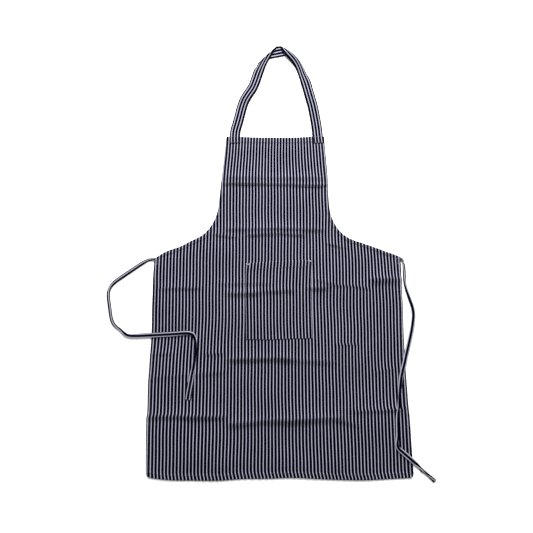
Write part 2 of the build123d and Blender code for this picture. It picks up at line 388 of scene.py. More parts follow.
def panelRise(x, y):
    inside = edgeDistance(x, y)
    topHem = panel["length"] - y
    edge = edgeOf(x, y)
    step, slope = ruffle["hemStep"], ruffle["hemSlope"]
    hem = smooth(panel["sideHem"] + step - inside, 0, slope)
    hem = np.maximum(hem, smooth(panel["bibHem"] + step - topHem, 0, slope))
    hem = np.maximum(hem, smooth(panel["bottomHem"] + step - y, 0, slope))
    rise = panel["low"] + panel["hemRise"] * hem
    rise = rise + panel["foldHeight"] * foldShape(x, y)[0] * (0.45 + 0.55 * smooth(edge, 0, 0.03))
    waves = ripple(x, y, ruffle["waves"])
    rise = rise + (panel["slack"] + waves) * (0.25 + 0.75 * smooth(edge, 0.002, 0.05))
    pucker = puckers(y, 0.0021, 2.3, 0.017) * smooth(0.018 - inside, 0, 0.014)
    rise = rise + ruffle["sidePucker"] * pucker * (1 + 0.8 * (x > 0))
    rope = np.sin((x * 0.9 - y * 1.3) / 0.0023 + 1.7 * np.sin(x / 0.023))
    rise = rise + ruffle["bottomRope"] * rope * smooth(0.024 - y, 0, 0.016)
    crimp = puckers(x, 0.0022, 1.9, 0.019) * smooth(0.026 - topHem, 0, 0.018)
    rise = rise + ruffle["bibCrimp"] * crimp
    reach = ruffle["edgeReach"]
    return rise - ruffle["edgeRound"] * smooth(reach - edge, 0, reach)


def layOn(x, y, lift=0.0):
    # where a place of the flat panel lies, or of something that lies on it
    dx, dy = panelDrift(x, y)
    return np.stack([x + dx, baseY + y + dy, panelRise(x, y) + lift], axis=-1)


def surfaceBelow(places):
    # height of the panel's front under a place, or of the surface that the apron lies on
    x, y = places[..., 0], places[..., 1] - baseY
    dx, dy = panelDrift(x, y)
    x, y = x - dx, y - dy
    within = smooth(edgeOf(x, np.clip(y, -0.01, panel["length"] + 0.01)), -0.003, 0.001)
    return within * panelRise(x, np.clip(y, 0, panel["length"]))


# materials

cloth = dict(
    pitch=0.00919, lightShare=0.248, edgeSoftness=0.040,
    navy=(0.0009, 0.0009, 0.0046, 1), light=(0.328, 0.328, 0.415, 1), worn=(0.022, 0.023, 0.036, 1),
    roughness=0.95, weaveSize=0.0009, bump=0.16, bumpDepth=0.0002, wander=0.05,
    yarnScale=(900.0, 60.0), fibreScale=(2200.0, 1500.0), cloudScale=14.0,
)


def addNode(tree, kind, inputs=None, **settings):
    node = tree.nodes.new(kind)
    for name, value in settings.items():
        setattr(node, name, value)
    for key, value in (inputs or {}).items():
        if isinstance(value, bpy.types.NodeSocket):
            tree.links.new(value, node.inputs[key])
        else:
            node.inputs[key].default_value = value
    return node


def calculate(tree, operation, first, second=0.0, third=0.0):
    node = addNode(tree, "ShaderNodeMath", {0: first, 1: second, 2: third}, operation=operation)
    return node.outputs[0]


def mixColours(tree, share, first, second, blend="MIX"):
    node = addNode(tree, "ShaderNodeMix", {0: share, 6: first, 7: second}, data_type="RGBA")
    node.blend_type = blend
    return node.outputs[2]


def newMaterial(name):
    material = bpy.data.materials.new(name)
    material.use_nodes = True
    return material, material.node_tree.nodes["Principled BSDF"]


def makeStripedTwill():
    material, shader = newMaterial("stripedTwill")
    tree = material.node_tree
    uv = addNode(tree, "ShaderNodeUVMap", uv_map="cloth")
    parts = addNode(tree, "ShaderNodeSeparateXYZ", {0: uv.outputs[0]})
    across, along = parts.outputs[0], parts.outputs[1]

    # each stripe's edge wanders a little, as yarns do
    yarnPlace = addNode(tree, "ShaderNodeCombineXYZ", {
        0: calculate(tree, "MULTIPLY", across, cloth["yarnScale"][0]),
        1: calculate(tree, "MULTIPLY", along, cloth["yarnScale"][1])})
    yarn = addNode(tree, "ShaderNodeTexNoise", {
        "Vector": yarnPlace.outputs[0], "Scale": 1.0, "Detail": 3.0, "Roughness": 0.6})
    wander = calculate(tree, "MULTIPLY_ADD", yarn.outputs[0], cloth["wander"], -cloth["wander"] / 2)
    count = calculate(tree, "DIVIDE", across, cloth["pitch"])
    count = calculate(tree, "ADD", count, wander)
    within = calculate(tree, "FRACT", count)
    fromMiddle = calculate(tree, "ABSOLUTE", calculate(tree, "SUBTRACT", within, 0.5))
    half = cloth["lightShare"] / 2
    stripe = addNode(tree, "ShaderNodeMapRange", {
        0: fromMiddle, 1: half - cloth["edgeSoftness"], 2: half + cloth["edgeSoftness"],
        3: 1.0, 4: 0.0}, interpolation_type="SMOOTHSTEP")

    # twill lines and single yarns
    diagonal = calculate(tree, "ADD", across, calculate(tree, "MULTIPLY", along, 0.8))
    turns = calculate(tree, "MULTIPLY", diagonal, 2 * math.pi / cloth["weaveSize"])
    twillWave = calculate(tree, "SINE", turns)
    weave = calculate(tree, "MULTIPLY_ADD", twillWave, 0.5, 0.5)
    fibrePlace = addNode(tree, "ShaderNodeCombineXYZ", {
        0: calculate(tree, "MULTIPLY", across, cloth["fibreScale"][0]),
        1: calculate(tree, "MULTIPLY", along, cloth["fibreScale"][1])})
    fibre = addNode(tree, "ShaderNodeTexNoise", {
        "Vector": fibrePlace.outputs[0], "Scale": 1.0, "Detail": 2.0})
    cloudPlace = addNode(tree, "ShaderNodeVectorMath", {
        0: uv.outputs[0], 3: cloth["cloudScale"]}, operation="SCALE")
    cloud = addNode(tree, "ShaderNodeTexNoise", {
        "Vector": cloudPlace.outputs[0], "Scale": 1.0, "Detail": 4.0})

    worn = addNode(tree, "ShaderNodeAttribute", attribute_name="wear")
    wearShare = calculate(tree, "MULTIPLY", worn.outputs[2], fibre.outputs[0])
    navy = mixColours(tree, wearShare, cloth["navy"], cloth["worn"])
    lightTone = calculate(tree, "MULTIPLY_ADD", cloud.outputs[0], 0.14, 0.90)
    yarnTone = calculate(tree, "MULTIPLY_ADD", yarn.outputs[0], 0.16, 0.92)
    tone = calculate(tree, "MULTIPLY", lightTone, yarnTone)
    toneColour = addNode(tree, "ShaderNodeCombineColor", {0: tone, 1: tone, 2: tone})
    light = mixColours(tree, 1.0, cloth["light"], toneColour.outputs[0], "MULTIPLY")
    colour = mixColours(tree, stripe.outputs[0], navy, light)
    twillShade = calculate(tree, "MULTIPLY_ADD", weave, 0.07, 0.94)
    twillColour = addNode(tree, "ShaderNodeCombineColor", {
        0: twillShade, 1: twillShade, 2: twillShade})
    colour = mixColours(tree, 1.0, colour, twillColour.outputs[0], "MULTIPLY")
    tree.links.new(colour, shader.inputs["Base Color"])

    height = calculate(tree, "ADD", calculate(tree, "MULTIPLY", weave, 0.6), fibre.outputs[0])
    bump = addNode(tree, "ShaderNodeBump", {
        "Height": height, "Strength": cloth["bump"], "Distance": cloth["bumpDepth"]})
    tree.links.new(bump.outputs[0], shader.inputs["Normal"])
    shader.inputs["Roughness"].default_value = cloth["roughness"]
    shader.inputs["Specular IOR Level"].default_value = 0.0
    return material


def makeThread(name, dark, bright):
    material, shader = newMaterial(name)
    tree = material.node_tree
    place = addNode(tree, "ShaderNodeTexCoord").outputs["Object"]
    ply = addNode(tree, "ShaderNodeTexNoise", {"Vector": place, "Scale": 2600.0, "Detail": 2.0})
    colour = mixColours(tree, ply.outputs[0], dark, bright)
    tree.links.new(colour, shader.inputs["Base Color"])
    bump = addNode(tree, "ShaderNodeBump", {
        "Height": ply.outputs[0], "Strength": 0.5, "Distance": 0.0001})
    tree.links.new(bump.outputs[0], shader.inputs["Normal"])
    shader.inputs["Roughness"].default_value = 0.75
    shader.inputs["Sheen Weight"].default_value = 0.1
    return material


stripedTwill = makeStripedTwill()
navyThread = makeThread("navyThread", (0.010, 0.011, 0.026, 1), (0.035, 0.037, 0.070, 1))
lightThread = makeThread("lightThread", (0.15, 0.15, 0.19, 1), (0.30, 0.30, 0.36, 1))
print("materials made")


# waist ties: flat tapes whose edges are folded under, so that only a part of their width is seen

tie = dict(
    width=0.018, thickness=0.0009, spacing=0.0025, columns=40, pinch=0.55, clear=0.0002,
    leftFold=0.0007, rightFold=0.0013,  # radius of each folded edge
    # lengths from the seam over which it widens, comes down to the cloth, and leaves its exit
    pinched=(0.006, 0.05), seated=(0.008, 0.020), easeOut=0.010,
)
leftTie = dict(
    name="left_tie", side=-1,
    route=[
        (-0.346, -0.0490, 0.0010), (-0.360, -0.0490, 0.0010), (-0.375, -0.0515, 0.0030),
        (-0.436, -0.0950, 0.0040), (-0.470, -0.1195, 0.0040), (-0.4795, -0.1430, 0.0040),
        (-0.4715, -0.1860, 0.0040), (-0.462, -0.2315, 0.0040), (-0.436, -0.2510, 0.0040),
        (-0.420, -0.2665, 0.0040), (-0.389, -0.2657, 0.0040), (-0.339, -0.2630, 0.0050),
        (-0.292, -0.2605, 0.0060), (-0.243, -0.2560, 0.0060), (-0.2285, -0.2690, 0.0060),
        (-0.2275, -0.3090, 0.0060), (-0.232, -0.3520, 0.0060), (-0.240, -0.3970, 0.0055),
        (-0.2457, -0.4365, 0.0045),
    ],
    # share of its width that is seen, and how far its middle is from the middle of what is seen
    seen=[
        1.0, 0.90, 0.56, 0.60, 0.56, 0.36, 0.37, 0.36, 0.40, 0.56, 0.66, 0.68, 0.66, 0.54, 0.40,
        0.36, 0.44, 0.80, 1.0],
    aside=[
        0, 0.0016, 0.0033, 0.0034, 0.0034, 0.0038, 0.0044, 0.0036, 0.0026, 0.0006, -0.0007,
        -0.0009, -0.0011, -0.0014, -0.0010, 0, 0.0003, 0.0003, 0],
)
rightTie = dict(
    name="right_tie", side=1,
    route=[
        (0.345, -0.0470, 0.0010), (0.354, -0.0465, 0.0010), (0.358, -0.0600, 0.0030),
        (0.358, -0.0860, 0.0040), (0.358, -0.1190, 0.0040), (0.3665, -0.1523, 0.0040),
        (0.380, -0.1950, 0.0040), (0.3745, -0.2350, 0.0040), (0.363, -0.2773, 0.0050),
        (0.350, -0.3200, 0.0060), (0.333, -0.3730, 0.0060), (0.328, -0.4108, 0.0060),
        (0.3255, -0.4350, 0.0060), (0.3165, -0.4750, 0.0060), (0.314, -0.5095, 0.0060),
        (0.3145, -0.5306, 0.0060), (0.3105, -0.5570, 0.0060), (0.330, -0.5720, 0.0060),
        (0.355, -0.5940, 0.0060), (0.3736, -0.6115, 0.0070), (0.3861, -0.6217, 0.0060),
        (0.4085, -0.6400, 0.0040),
    ],
    seen=[
        1.0, 0.60, 0.34, 0.33, 0.36, 0.46, 0.54, 0.56, 0.60, 0.62, 0.56, 0.38, 0.36, 0.34, 0.33,
        0.34, 0.46, 0.66, 0.64, 0.34, 0.30, 0.34],
    aside=[
        0, -0.0020, -0.0046, -0.0046, -0.0036, -0.0018, -0.0011, -0.0011, -0.0006, 0, 0.0002, 0,
        0, 0.0022, 0.0030, 0.0024, 0.0003, -0.0003, -0.0003, 0.0040, 0.0010, 0.0044],
)


def followRoute(route, spacing):
    # evenly spaced points read from the smooth spline whose control points are the route
    curve = bpy.data.curves.new("route", "CURVE")
    curve.dimensions = "3D"
    spline = curve.splines.new("NURBS")
    spline.points.add(len(route) - 1)
    for point, place in zip(spline.points, route):
        point.co = (*place, 1)
    spline.order_u = 3
    spline.use_endpoint_u = True
    spline.resolution_u = 24
    holder = bpy.data.objects.new("route", curve)
    bpy.context.scene.collection.objects.link(holder)
    line = bpy.data.meshes.new_from_object(holder)
    points = np.array([vertex.co for vertex in line.vertices])
    bpy.data.objects.remove(holder)
    bpy.data.curves.remove(curve)
    bpy.data.meshes.remove(line)
    gone = lengthsAlong(points)
    stops = np.linspace(0, gone[-1], int(gone[-1] / spacing) + 1)
    return np.stack([np.interp(stops, gone, points[:, axis]) for axis in range(3)], axis=1), stops


def calm(values, times):
    for _ in range(times):
        padded = np.concatenate([values[:1], values, values[-1:]])
        values = (padded[:-2] + 2 * padded[1:-1] + padded[2:]) / 4
    return values


def tieLie(values):
    points, lengths = followRoute(values["route"], tie["spacing"])
    reach = lengthsAlong(np.array(values["route"]))
    place = lengths / lengths[-1] * reach[-1]
    seen = calm(np.interp(place, reach, values["seen"]), 3)
    aside = calm(np.interp(place, reach, values["aside"]), 3)
    width = tie["width"] * (tie["pinch"] + (1 - tie["pinch"]) * smooth(lengths, *tie["pinched"]))
    folded = smooth(1 - seen, 0, 0.1)
    top = seen * width - folded * (tie["leftFold"] + tie["rightFold"])
    lie = dict(
        points=points, lengths=lengths, width=width, middle=aside,
        leftEnd=aside - top / 2, rightEnd=aside + top / 2)
    lie["lowest"] = np.maximum(*[-tieSection(lie, share, slice(None))[1] for share in (0.0, 1.0)])
    forward = unit(np.gradient(points, axis=0))
    lie["level"] = unit(np.cross(forward, (0.0, 0.0, 1.0)))
    ground = calm(surfaceBelow(points), 5) + tie["thickness"] / 2 + tie["clear"]
    ground = ground * smooth(lengths, *tie["seated"])
    still = smooth(tie["seated"][1] - lengths, 0, tie["easeOut"])
    lie["ground"] = np.maximum(ground, points[:, 2] * still)
    return lie


def tieSection(lie, across, row, lift=0.0):
    # a tie's section: flat on top, with each edge folded round and in beneath it
    gone = (across - 0.5) * lie["width"][row]
    beyondLeft = np.clip(lie["leftEnd"][row] - gone, 0, None)
    beyondRight = np.clip(gone - lie["rightEnd"][row], 0, None)
    leftTurn = np.minimum(beyondLeft / tie["leftFold"], math.pi)
    rightTurn = np.minimum(beyondRight / tie["rightFold"], math.pi)
    inLeft = beyondLeft - leftTurn * tie["leftFold"]
    inRight = beyondRight - rightTurn * tie["rightFold"]
    side = np.clip(gone, lie["leftEnd"][row], lie["rightEnd"][row]) - lie["middle"][row]
    side = side + (inLeft - inRight)
    side = side - (tie["leftFold"] + lift) * np.sin(leftTurn)
    side = side + (tie["rightFold"] + lift) * np.sin(rightTurn)
    up = -tie["leftFold"] * (1 - np.cos(leftTurn)) - tie["rightFold"] * (1 - np.cos(rightTurn))
    return side, up + lift * np.cos(leftTurn + rightTurn)


def tiePlaces(lie, across, row, lift=0.0):
    side, up = tieSection(lie, across, row, lift)
    places = lie["points"][row] + lie["level"][row] * side[:, None]
    places[:, 2] = lie["ground"][row] + lie["lowest"][row] + up
    return places


def makeTie(values):
    lie = tieLie(values)
    rows = len(lie["points"]) - 1

    def lay(a, b):
        row = np.rint(b * rows).astype(int)
        flat = np.stack([(a - 0.5) * tie["width"], lie["lengths"][row]], axis=-1)
        return flat, tiePlaces(lie, a, row)

    piece = sheetFromGrid(values["name"], tie["columns"], rows, lay, tie["thickness"], 0)
    finishMesh(piece, stripedTwill)
    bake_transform(piece)
    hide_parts(values["name"].replace("tie", "waist_tie"), values["name"] + "_sewn_end")
    middle = lie["points"].copy()
    middle[:, 2] = lie["ground"] + lie["lowest"] / 2
    total = float(lengthsAlong(middle)[-1])
    print(values["name"], "laid,", round(total * 1000), "mm long")
    return piece, middle, total


leftTieLaid = makeTie(leftTie)
rightTieLaid = makeTie(rightTie)


# main panel

panelMesh = dict(columns=170, rows=250, fineEdge=0.62)


def rowHeights(share):
    # rows lie closer together at the hems and along the armholes' slopes
    heights = [0, 0.02, 0.57, 0.65, 0.94, panel["length"]]
    rows = [0, 9, 130, 176, 240, 251]
    return np.interp(share * rows[-1], rows, heights)


def layWholePanel(a, b):
    y = rowHeights(b)
    half = halfWidthAt(y)
    inward = 1 - np.abs(2 * a - 1)
    fine = panelMesh["fineEdge"]
    x = np.sign(a - 0.5) * half * (1 - inward * fine - (1 - fine) * inward ** 2)
    return np.stack([(x + cutShift(y)) * gather(y), y], axis=-1), layOn(x, y)


def panelWear(flat):
    y = flat[:, 1]
    x = flat[:, 0] / gather(y) - cutShift(y)
    return np.clip(0.7 * smooth(0.004 - edgeOf(x, y), 0, 0.004) + 0.5 * foldShape(x, y)[1], 0, 1)


def makePanel():
    piece = sheetFromGrid(
        "apron_panel", panelMesh["columns"], panelMesh["rows"], layWholePanel,
        panel["cloth"], -1, panelWear)
    finishMesh(piece, stripedTwill)
    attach(piece, "apron_body")
    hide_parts("main_panel")
    return piece


panelPiece = makePanel()
print("panel laid")


# the turned edges under the panel

hems = dict(layer=0.0011, inset=0.0006, sideGap=0.004, endGap=0.012, columns=4, rows=260)


def sideLine(side):
    def line(share):
        y = hems["sideGap"] + share * (panel["length"] - 2 * hems["sideGap"])
        lean = leanAt(y)
        inward = unit(np.stack([-side + 0 * lean, lean], axis=-1))
        return np.stack([side * halfWidthAt(y), y], axis=-1), inward
    return line


def levelLine(y, halfWidth, inwardY):
    def line(share):
        x = (share - 0.5) * 2 * halfWidth
        return np.stack([x, y + 0 * x], axis=-1), np.stack([0 * x, inwardY + 0 * x], axis=-1)
    return line


def makeHem(name, line, width):
    under = panel["cloth"] + hems["layer"] / 2

    def lay(a, b):
        start, inward = line(b)
        flat = start + inward * (hems["inset"] + a * (width - hems["inset"]))[:, None]
        places = layOn(flat[:, 0], flat[:, 1], -under)
        flat[:, 0] += cutShift(flat[:, 1])
        return flat, places

    piece = sheetFromGrid(name, hems["columns"], hems["rows"], lay, hems["layer"], 0)
    finishMesh(piece, stripedTwill)
    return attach(piece, "apron_body")


hemPieces = [
    makeHem("left_edge_hem", sideLine(-1), panel["sideHem"]),
    makeHem("right_edge_hem", sideLine(1), panel["sideHem"]),
    makeHem("bottom_hem", levelLine(0.0, panel["width"] / 2 - hems["endGap"], 1), panel["bottomHem"]),
    makeHem(
        "bib_hem", levelLine(panel["length"], panel["bibHalf"] - hems["endGap"], -1),
        panel["bibHem"]),
]
print("hems turned")


# patch pocket

pocketLow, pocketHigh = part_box("patch_pocket")
pocket = dict(
    half=(pocketHigh.x - pocketLow.x) / 2, base=pocketLow.y - baseY, top=pocketHigh.y - baseY,
    cloth=0.0005, seam=0.0007, turned=0.008, mouthHem=0.020, bulge=0.0010, gape=0.0008,
    columns=72, rows=84, shift=0.0046, turnedRise=0.0004, ripple=0.0005, pucker=0.0002,
    lean=0.0016, leanReach=0.030,
)
# how far each corner was sewn from square: across and up
pocketCorners = dict(
    topLeft=(0.0012, -0.0048), topRight=(0.0040, 0.0040),
    lowLeft=(0.0045, -0.0022), lowRight=(0.0024, 0.0020),
)


def onPocket(x, y, lift=0.0):
    across = (x + pocket["half"]) / (2 * pocket["half"])
    up = (y - pocket["base"]) / (pocket["top"] - pocket["base"])
    corners = pocketCorners
    low = np.outer(1 - across, corners["lowLeft"]) + np.outer(across, corners["lowRight"])
    high = np.outer(1 - across, corners["topLeft"]) + np.outer(across, corners["topRight"])
    drift = low * (1 - up)[:, None] + high * up[:, None]
    side = 2 * across - 1
    inside = np.minimum(np.minimum(x + pocket["half"], pocket["half"] - x), y - pocket["base"])
    seam = smooth(pocket["turned"] + 0.002 - inside, 0, 0.003)
    mouthFrom = pocket["top"] - pocket["mouthHem"]
    mouth = smooth(y, mouthFrom - 0.002, mouthFrom + 0.001)
    full = smooth(inside, 0.001, 0.030)
    rise = pocket["seam"] + pocket["turnedRise"] * np.maximum(seam, mouth)
    rise = rise + pocket["bulge"] * full * np.sin(math.pi * np.clip(up, 0, 1) * 0.8)
    rise = rise + pocket["gape"] * (1 - side ** 4) * smooth(up, 0.72, 1.0)
    waves = ripple(x, y, [(1, 0.071, 0.21, 0.4), (0.6, -0.043, 0.09, 2.2)])
    rise = rise + pocket["ripple"] * waves * full
    pucker = puckers(y, 0.0019, 2, 0.013)
    rise = rise + pocket["pucker"] * pucker * smooth(0.012 - inside, 0, 0.01)
    places = layOn(x, y, rise + lift)
    places[:, :2] += drift
    places[:, 2] += panelUnder(places) - panelRise(x, y)
    return places


def panelUnder(places):
    dx, dy = panelDrift(places[:, 0], places[:, 1] - baseY)
    return panelRise(places[:, 0] - dx, places[:, 1] - baseY - dy)


def layPocket(a, b):
    x = (a - 0.5) * 2 * pocket["half"]
    y = pocket["base"] + b * (pocket["top"] - pocket["base"])
    lean = pocket["lean"] * smooth(y, pocket["top"] - pocket["leanReach"], pocket["top"])
    return np.stack([x + pocket["shift"] - lean, y], axis=-1), onPocket(x, y)


def layMouthHem(a, b):
    x = (a - 0.5) * 2 * (pocket["half"] - 0.003)
    y = pocket["top"] - 0.0008 - b * (pocket["mouthHem"] - 0.0008)
    return np.stack([x, y], axis=-1), onPocket(x, y, -pocket["cloth"] - 0.0004)


def pocketWear(flat):
    x, y = flat[:, 0] - pocket["shift"], flat[:, 1]
    edge = np.minimum(pocket["half"] - np.abs(x), y - pocket["base"])
    return 0.3 * smooth(0.003 - edge, 0, 0.003)


def makePocket():
    piece = sheetFromGrid(
        "pocket", pocket["columns"], pocket["rows"], layPocket, pocket["cloth"], -1, pocketWear)
    finishMesh(piece, stripedTwill)
    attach(piece, "apron_body")
    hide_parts("patch_pocket")
    hem = sheetFromGrid("pocket_mouth_hem", pocket["columns"], 6, layMouthHem, 0.0007, 0)
    finishMesh(hem, stripedTwill)
    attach(hem, "apron_body")
    return piece, hem


pocketPiece, mouthHemPiece = makePocket()
print("pocket laid")


# neck strap: it lies flat up each side, folds over at the top left and again at the right

strap = dict(
    width=0.032, thickness=0.0012, low=0.0012, clear=0.0002, columns=16, spacing=0.003,
    phase=0.0058, overPanel=0.0008, wave=0.0004, waveLength=0.021, sewnTop=0.9630,
)
leftLeg = [
    # middle of the strap, and its heading in degrees
    (-0.1278, 0.9420, 91), (-0.1281, 0.9620, 89), (-0.1262, 0.9850, 82), (-0.1208, 1.0060, 77),
    (-0.1150, 1.0300, 77), (-0.1098, 1.0535, 75), (-0.0991, 1.0867, 67), (-0.0875, 1.1073, 58),
    (-0.0775, 1.1235, 60), (-0.0692, 1.1440, 71), (-0.0585, 1.1780, 69),
]
rightLeg = [
    (0.0885, 1.1440, -73), (0.0945, 1.1205, -76), (0.1028, 1.0867, -76),
    (0.1070, 1.0700, -77), (0.1101, 1.0535, -80), (0.1140, 1.0300, -82), (0.1174, 1.0058, -84),
    (0.1200, 0.9830, -86), (0.1213, 0.9620, -87), (0.1234, 0.9420, -87),
]
crown = [
    # outer edge, middle and inner edge of the strap where it folds, each with its height
    ((-0.0660, 1.1955, 0.0014), (-0.0478, 1.2040, 0.0018), (-0.0300, 1.2125, 0.0018)),
    ((-0.0605, 1.2055, 0.0022), (-0.0375, 1.2245, 0.0030), (-0.0130, 1.2440, 0.0032)),
    ((-0.0572, 1.2100, 0.0030), (-0.0292, 1.2398, 0.0040), (-0.0002, 1.2682, 0.0042)),
    ((-0.0560, 1.2112, 0.0020), (-0.0280, 1.2412, 0.0026), (0.0010, 1.2697, 0.0030)),
    ((-0.0545, 1.2112, 0.0012), (-0.0265, 1.2408, 0.0012), (0.0016, 1.2690, 0.0014)),
    ((-0.0243, 1.2255, 0.0012), (-0.0100, 1.2470, 0.0012), (0.0035, 1.2695, 0.0014)),
    ((0.0080, 1.2325, 0.0012), (0.0080, 1.2520, 0.0012), (0.0055, 1.2698, 0.0016)),
    ((0.0440, 1.2445, 0.0012), (0.0255, 1.2575, 0.0014), (0.0075, 1.2696, 0.0020)),
    ((0.0456, 1.2460, 0.0026), (0.0270, 1.2588, 0.0032), (0.0085, 1.2700, 0.0034)),
    ((0.0460, 1.2450, 0.0036), (0.0275, 1.2580, 0.0052), (0.0095, 1.2685, 0.0046)),
    ((0.0495, 1.2425, 0.0034), (0.0305, 1.2530, 0.0080), (0.0150, 1.2545, 0.0046)),
    ((0.0555, 1.2365, 0.0034), (0.0400, 1.2415, 0.0092), (0.0250, 1.2370, 0.0044)),
    ((0.0635, 1.2275, 0.0030), (0.0495, 1.2305, 0.0088), (0.0360, 1.2230, 0.0034)),
    ((0.0735, 1.2135, 0.0020), (0.0605, 1.2160, 0.0070), (0.0490, 1.2066, 0.0016)),
    ((0.0825, 1.1955, 0.0012), (0.0705, 1.1960, 0.0042), (0.0585, 1.1895, 0.0012)),
    ((0.0900, 1.1775, 0.0012), (0.0775, 1.1755, 0.0022), (0.0650, 1.1705, 0.0012)),
]


def squareStation(x, y, heading):
    turn = math.radians(heading)
    outward = Vector((-math.sin(turn), math.cos(turn))) * strap["width"] / 2
    spots = [(x + outward.x, y + outward.y), (x, y), (x - outward.x, y - outward.y)]
    if y < panel["length"]:
        under = [float(surfaceBelow(np.array([a, baseY + b, 0.0]))) for a, b in spots]
        return [(a, b, low + strap["overPanel"]) for (a, b), low in zip(spots, under)]
    return [(a, b, strap["low"]) for a, b in spots]


def strapRails():
    # outer edge, middle and inner edge of the strap, from its left end to its right end
    leftStations = [squareStation(*spot) for spot in leftLeg]
    rightStations = [squareStation(*spot) for spot in rightLeg]
    stations = np.array(leftStations + crown + rightStations)
    steps = np.linalg.norm(np.diff(stations, axis=0), axis=2).max(axis=1)
    slopes = np.gradient(stations, np.concatenate([[0], np.cumsum(steps)]), axis=0)
    rows = []
    for index, step in enumerate(steps):
        count = max(3, round(step / strap["spacing"]))
        share = (np.arange(count) / count)[:, None, None]
        start, end = stations[index], stations[index + 1]
        leave, arrive = slopes[index] * step, slopes[index + 1] * step
        rows.append(
            (1 + 2 * share) * (1 - share) ** 2 * start + share ** 2 * (3 - 2 * share) * end
            + share * (1 - share) ** 2 * leave + share ** 2 * (share - 1) * arrive)
    rows.append(stations[-1:])
    return np.concatenate(rows)


def strapPlaces(rails, across, row):
    outer, middle, inner = rails[row, 0], rails[row, 1], rails[row, 2]
    share = across[:, None]
    places = (
        outer * (1 - share) * (1 - 2 * share) + middle * 4 * share * (1 - share)
        + inner * share * (2 * share - 1))
    places[:, 1] += baseY
    places[:, 2] = np.maximum(places[:, 2], strap["thickness"] / 2 + strap["clear"])
    return places


rails = strapRails()
strapGone = lengthsAlong(rails[:, 1])


def layStrap(a, b):
    row = np.rint(b * (len(rails) - 1)).astype(int)
    places = strapPlaces(rails, a, row)
    free = smooth(places[:, 1] - baseY, panel["length"], panel["length"] + 0.03)
    wave = np.sin(strapGone[row] / strap["waveLength"]) * np.sin(a * 2.2 + 0.4)
    places[:, 2] += free * (strap["wave"] + strap["wave"] * wave)
    flat = np.stack([(a - 0.5) * strap["width"] + strap["phase"], strapGone[row]], axis=-1)
    return flat, places


def strapWear(flat):
    edge = strap["width"] / 2 - np.abs(flat[:, 0] - strap["phase"])
    return 0.7 * smooth(0.0025 - edge, 0, 0.0025)


def makeStrap():
    piece = sheetFromGrid(
        "neck_strap", strap["columns"], len(rails) - 1, layStrap, strap["thickness"], 0, strapWear)
    finishMesh(piece, stripedTwill)
    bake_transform(piece)
    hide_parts("neck_strap_sewn_ends", "neck_strap_loop")
    return piece


strapPiece = makeStrap()
print("neck strap laid,", round(strapGone[-1] * 1000), "mm long")


# stitches: each one is a short grain of thread that lies on the cloth

stitch = dict(
    length=0.0027, width=0.00055, height=0.00040, every=0.0034, sides=6, rings=4,
    lift=0.0002, tackHalf=0.0012, tackLift=0.0003, tackGrain=(0.0030, 0.0006, 0.0005),
    tackEvery=0.003, anchorLift=0.0008, edgeLift=0.0006,
)


def stitchGrain():
    deselectAll()
    bpy.ops.mesh.primitive_uv_sphere_add(
        segments=stitch["sides"], ring_count=stitch["rings"], radius=0.5,
        rotation=(0, math.pi / 2, 0))
    grain = bpy.context.object
    bpy.ops.object.transform_apply(location=False, rotation=True, scale=False)
    shape = np.array([vertex.co for vertex in grain.data.vertices])
    faces = [list(face.vertices) for face in grain.data.polygons]
    bpy.data.objects.remove(grain)
    return shape, faces


grainShape, grainFaces = stitchGrain()


def spread(line, every):
    # even steps along a line of places, with the direction at each
    gone = lengthsAlong(line)
    count = max(2, round(gone[-1] / every))
    stops = (np.arange(count) + 0.5) * gone[-1] / count

    def at(stop):
        return np.stack([np.interp(stop, gone, line[:, axis]) for axis in range(3)], axis=1)

    return at(stops), unit(at(stops + 0.0008) - at(stops - 0.0008))


def sew(name, lines, material, size=None, every=None):
    size = size or (stitch["length"], stitch["width"], stitch["height"])
    vertices, faces = [], []
    for line in lines:
        middles, forward = spread(np.asarray(line), every or stitch["every"])
        side = unit(np.cross((0.0, 0.0, 1.0), forward))
        up = np.cross(forward, side)
        for middle, f, s, u in zip(middles, forward, side, up):
            first = len(vertices)
            grain = grainShape * size
            vertices.extend(middle + grain[:, :1] * f + grain[:, 1:2] * s + grain[:, 2:] * u)
            faces.extend([first + corner for corner in face] for face in grainFaces)
    mesh = bpy.data.meshes.new(name)
    mesh.from_pydata([tuple(place) for place in vertices], [], faces)
    piece = bpy.data.objects.new(name, mesh)
    bpy.context.scene.collection.objects.link(piece)
    return finishMesh(piece, material)


def onPanelLine(points, count=400):
    # a line on the panel's front through places of the flat panel
    x, y = evenSteps(points, count)
    return layOn(x, y, stitch["lift"])


def armholeLine(side):
    y = np.linspace(panel["waist"] - 0.005, panel["length"] - 0.018, 500)
    lean = leanAt(y)
    inward = unit(np.stack([-1 + 0 * lean, lean], axis=-1)) * (panel["sideHem"] - 0.0015)
    return layOn(side * (halfWidthAt(y) + inward[:, 0]), y + inward[:, 1], stitch["lift"])


def onPocketLine(points):
    x, y = evenSteps(points, 200)
    return onPocket(x, y, stitch["lift"])


def zigzag(x0, y0, x1, y1, turns, place):
    # a bar tack: close stitches to and fro between two ends
    share = np.linspace(0, 1, 2 * turns + 1)
    wide = np.where(np.arange(len(share)) % 2 == 0, -stitch["tackHalf"], stitch["tackHalf"])
    length = math.hypot(x1 - x0, y1 - y0)
    x = x0 + share * (x1 - x0) - wide * (y1 - y0) / length
    y = y0 + share * (y1 - y0) + wide * (x1 - x0) / length
    spots = place(x, y)
    return [np.stack([spots[i], spots[i + 1]]) for i in range(len(spots) - 1)]


